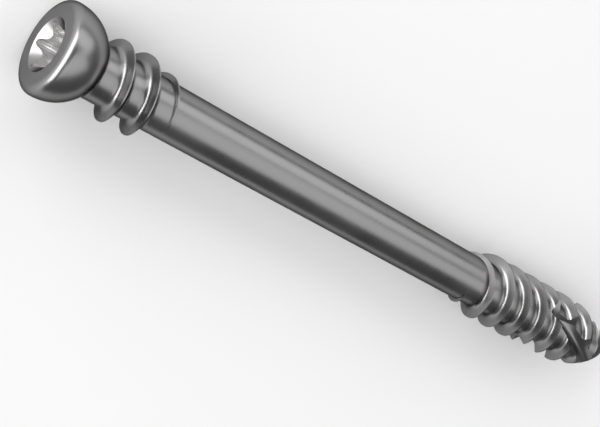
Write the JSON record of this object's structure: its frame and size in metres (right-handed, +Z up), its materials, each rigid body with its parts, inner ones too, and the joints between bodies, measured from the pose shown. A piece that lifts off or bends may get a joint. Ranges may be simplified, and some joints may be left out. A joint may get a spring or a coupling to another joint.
{
  "type": "bone compression screw",
  "caption": "Metal bone screw with a ball-shaped socket head, a short thread under it, a plain shank and a faster self-cutting thread at the rounded tip.",
  "frame": {"origin": "middle of the screw's bounding box, on the surface that it lies on", "axes": "+X along the screw from its head to its tip, +Z up from the surface that it lies on"},
  "size_m": [0.053, 0.006, 0.0061],
  "materials": {
    "titanium": "grey anodised titanium alloy, satin polished"
  },
  "bodies": {
    "root": {"compression_screw": "titanium"}
  },
  "joints": []
}
